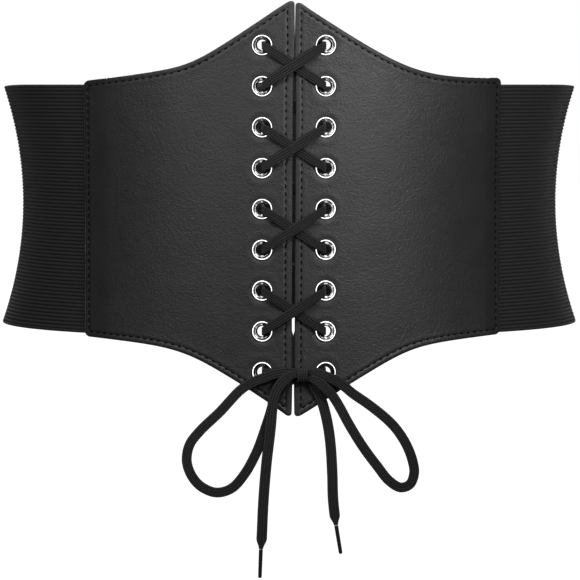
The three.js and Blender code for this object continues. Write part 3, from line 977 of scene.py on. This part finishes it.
def rib_profile(z):
    """Depth of the elastic's face, round ribs between two smooth selvedges, and its place in the ribs."""
    phase = (z - rib_low) / (rib_high - rib_low) * rib_count
    ribs = -rib_depth * (1 - np.abs(np.sin(np.pi * phase)) ** 0.6)
    from_end = np.minimum(z - elastic_low, elastic_high - z)
    roll, sunk = 0.9 * mm, 0.12 * mm
    selvedge = turned_edge(from_end, roll) - sunk
    plain = (z < rib_low) | (z > rib_high)
    return np.where(plain, selvedge, ribs), np.where(plain, 0.5, phase)


def add_elastic(side_name, material):
    """A ribbed wall. Its weave counts millimetres along and ribs upwards."""
    side = sides[side_name]
    edge = np.array([0, 0.1, 0.3, 0.6, 1.0, 1.35]) * mm
    rows_per_rib, columns = 6, 111
    ribbed = np.linspace(rib_low, rib_high, rows_per_rib * rib_count + 1)
    rows = np.concatenate([elastic_low + edge, ribbed, elastic_high - edge[::-1]])
    share = np.linspace(0, 1, columns)
    z = rows[:, None]
    start = np.arcsin((panel_side_x - seam_overlap) / half_width_at(z))
    end = math.pi - back_split / 2 / waist_half_width
    angle = start + (end - start) * share
    relief, phase = rib_profile(z)
    wander = np.array([[0.05 * noise.noise(Vector((s * 40, 3.0, r * 900))) for s in share]
                       for r in rows]) * mm
    round_side = smooth_step((np.degrees(angle) - side_sink["from"]) / (side_sink["to"] - side_sink["from"]))
    sunk = z - side_sink["depth"] * round_side * np.maximum(z / elastic_high, 0)
    outer = body_points(side * angle, sunk, relief + wander)
    inner = body_points(side * angle, sunk, -elastic_thickness - relief * 0.3)
    along = share * elastic_worn_length / mm
    weave = np.stack([np.broadcast_to(along, angle.shape), np.broadcast_to(phase, angle.shape)], axis=-1)
    piece = add_wall(f"elastic_side_{side_name}", outer, inner, material, weave,
                     flip=side < 0)
    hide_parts(f"elastic_{side_name}")


# Back strip

def strip_point(x, z, out):
    return body_points(math.pi - x / waist_half_width, z, out)


def add_back_band(leather, thread):
    inset = 2.6 * mm
    low, high = elastic_low - strip_edge, elastic_high + strip_edge
    steps = edge_steps[edge_steps < 5 * mm]
    columns = edged(-strip_half_width, strip_half_width, steps, steps, 24)
    x, z = np.meshgrid(columns, edged(low, high, steps, steps, 90))
    nearest = np.minimum.reduce([strip_half_width - np.abs(x), z - low, high - z])
    edge = turned_edge(nearest, leather_turn_radius)
    groove_depth, puff_height = 0.35 * mm, 0.1 * mm
    groove = -groove_depth * hump(nearest - inset, 0.55 * mm)
    puff = puff_height * hump(nearest - inset - 1.4 * mm, 0.9 * mm)
    outer = strip_point(x, z, leather_outer + edge + groove + puff)
    inner = strip_point(x, z, leather_inner - edge)
    weave = np.stack([x / mm, z / mm], axis=-1)
    band = add_wall("back_band", outer, inner, leather, weave, flip=True)
    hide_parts("back_strip")
    right, top = strip_half_width - inset, high - inset
    bottom = low + inset
    samples = 60
    share = np.linspace(0, 1, samples)
    across, up = right * (2 * share - 1), bottom + (top - bottom) * share
    runs = [np.stack([across, np.full(samples, end)], 1) for end in (top, bottom)]
    runs += [np.stack([np.full(samples, end), up], 1) for end in (right, -right)]

    def on_face(x, z):
        step = 0.5 * mm
        across_x = strip_point(x + step, z, 0.0) - strip_point(x - step, z, 0.0)
        up = strip_point(x, z + step, 0.0) - strip_point(x, z - step, 0.0)
        normal = unit(np.cross(up, across_x))
        return strip_point(x, z, leather_outer - 0.25 * mm), normal

    add_stitching("back_stitching", runs, on_face, thread)


# Eyelets

def add_eyelet(side_name, row, material):
    """A rolled rim that slopes in to a tube through the leather, and a flatter rim behind."""
    side = sides[side_name]
    sizes = np.array([eyelet_rim_radius, eyelet_hole_radius, -leather_thickness])
    rim, hole, back = sizes / mm
    profile = np.array([
        (rim, -0.1), (rim + 0.03, 0.25), (rim - 0.03, 0.55), (rim - 0.18, 0.78), (rim - 0.42, 0.9),
        (rim - 0.68, 0.86), (rim - 0.86, 0.7), (rim - 1.02, 0.42), (rim - 1.12, 0.31),
        (rim - 1.4, 0.26), (rim - 1.52, 0.14), (rim - 1.8, -0.2), (rim - 2.25, -0.6),
        (hole + 0.12, -0.9), (hole, -1.2), (hole, back - 0.3), (hole + 0.08, back - 0.62),
        (hole + 0.3, back - 0.8), (hole + 0.8, back - 0.82), (hole + 1.4, back - 0.66),
        (4.3, back - 0.35), (4.32, back - 0.12), (3.6, back - 0.08), (3.05, back + 0.1), (3.05, -0.3),
        (3.4, -0.1),
    ]) * mm
    size = 64
    normal = front_normal(side * eyelet_x, eyelet_z[row])
    right = Vector((0, 0, 1)).cross(normal).normalized()
    ring = circle(size, right, normal.cross(right))
    centre = front_points(side * eyelet_x, eyelet_z[row], leather_outer)
    points = np.stack([centre + np.array(normal) * height + ring * radius for radius, height in profile])
    index = np.arange(len(profile) * size).reshape(len(profile), size)
    following = np.roll(index, -1, axis=0)
    quads = np.stack([index, np.roll(index, -1, axis=1), np.roll(following, -1, axis=1), following], -1)
    piece = add_piece(f"grommet_{side_name}_{row + 1}", points, quads.reshape(-1, 4).tolist(), material)
    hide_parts(f"eyelet_{side_name}_{row + 1}")
    return piece


# Stage

def add_floor():
    """A pale floor below the tails, as bright as the backdrop."""
    reach = 9.0
    height = -0.32
    mesh = bpy.data.meshes.new("floor")
    corners = [(-reach, -reach), (reach, -reach), (reach, reach), (-reach, reach)]
    mesh.from_pydata([(x, y, height) for x, y in corners], [], [(0, 1, 2, 3)])
    material, shader = new_material("floor_paint", (0.93, 0.93, 0.93), roughness=0.9, specular=0.1,
                                    Emission_Color=(1, 1, 1, 1), Emission_Strength=1.0)
    tone = object_noise(material, scale=3)
    colour_between(material, shader, tone, (0.92, 0.92, 0.92), (0.94, 0.94, 0.94))
    mesh.materials.append(material)
    floor = add_object("floor", mesh)
    floor.visible_diffuse = False
    floor.visible_glossy = False
    return floor


def add_softbox(name, location, target, size, power):
    light = bpy.data.lights.new(name, "AREA")
    light.shape = "RECTANGLE"
    light.size, light.size_y = size
    light.energy = power
    box = add_object(name, light)
    box.location = location
    box.rotation_euler = (Vector(target) - Vector(location)).to_track_quat("-Z", "Y").to_euler()
    box.visible_camera = False
    return box


def add_world(seen, given):
    """Plain white to the eye, and a dimmer light on the belt."""
    world = bpy.data.worlds.new("studio")
    world.use_nodes = True
    tree = world.node_tree
    background = tree.nodes["Background"]
    background.inputs["Color"].default_value = (1, 1, 1, 1)
    strength = tree.nodes.new("ShaderNodeMapRange")
    strength.inputs["To Min"].default_value = given
    strength.inputs["To Max"].default_value = seen
    path = tree.nodes.new("ShaderNodeLightPath")
    tree.links.new(path.outputs["Is Camera Ray"], strength.inputs["Value"])
    tree.links.new(strength.outputs[0], background.inputs["Strength"])
    bpy.context.scene.world = world


def shine_on(light, pieces):
    """Let a light reach these pieces alone."""
    lit = bpy.data.collections.new(f"{light.name}_reach")
    for piece in pieces:
        lit.objects.link(piece)
    light.light_linking.receiver_collection = lit


def add_light(eyelets, bow, floor):
    """Soft light from in front and above, and one from behind. The bow has one of its own as well, and
    the eyelets have only the wide panel behind the camera that they mirror."""
    add_world(seen=1.0, given=0.11)
    bpy.context.scene.view_settings.view_transform = "Standard"
    left_out = [*eyelets, floor]
    others = [piece for piece in bpy.data.objects if piece.type == "MESH" and piece not in left_out]
    upper_front = (0, -0.09, 0.06)
    lights = [
        ("key_left", (-0.08, -0.4, 0.33), upper_front, (0.15, 0.1), 0.65, others),
        ("key_right", (0.07, -0.42, 0.29), upper_front, (0.15, 0.1), 0.56, others),
        ("gleam_left", (-0.186, -0.37, 0.1), upper_front, (0.1, 0.05), 0.28, others),
        ("gleam_right", (0.156, -0.37, 0.095), upper_front, (0.05, 0.05), 0.56, others),
        ("back_light", (0, 1.1, 0.8), (0, 0.1, 0), (0.9, 0.9), 40, others),
        ("bow_light", (-0.2, -0.3, 0), (0, -0.1, -0.13), (0.08, 0.08), 0.2, bow),
        ("eyelet_light", (0, -1.4, 0.1), (0, 0, 0), (2.4, 2.4), 60, eyelets),
    ]
    for name, place, target, size, power, pieces in lights:
        shine_on(add_softbox(name, place, target, size, power), pieces)


# Assembly

def build():
    leather = leather_material()
    elastic = elastic_material()
    braid = braid_material()
    thread = thread_material()
    chrome = chrome_material()
    film = aglet_material()
    tips = [add_aglet(side_name, tail_routes[side_name], film) for side_name in sides]
    bow = [add_bow_piece(f"loop_{side_name}", loop_routes[side_name], bow_lace_width, braid,
                         f"bow_loop_{side_name}") for side_name in sides]
    bow += [add_bow_piece(f"tail_{side_name}", tail_routes[side_name], tail_width, braid,
                          f"lace_tail_{side_name}", [tip]) for side_name, tip in zip(sides, tips)]
    bow.append(add_knot(braid))
    add_lacing(braid)
    add_back_band(leather, thread)
    for side_name in sides:
        add_panel(side_name, leather)
        add_panel_stitching(side_name, thread)
        add_elastic(side_name, elastic)
    eyelets = [add_eyelet(side_name, row, chrome) for side_name in sides for row in range(eyelet_rows)]
    return eyelets, bow


add_camera()
eyelets, bow = build()
add_light(eyelets, bow, add_floor())
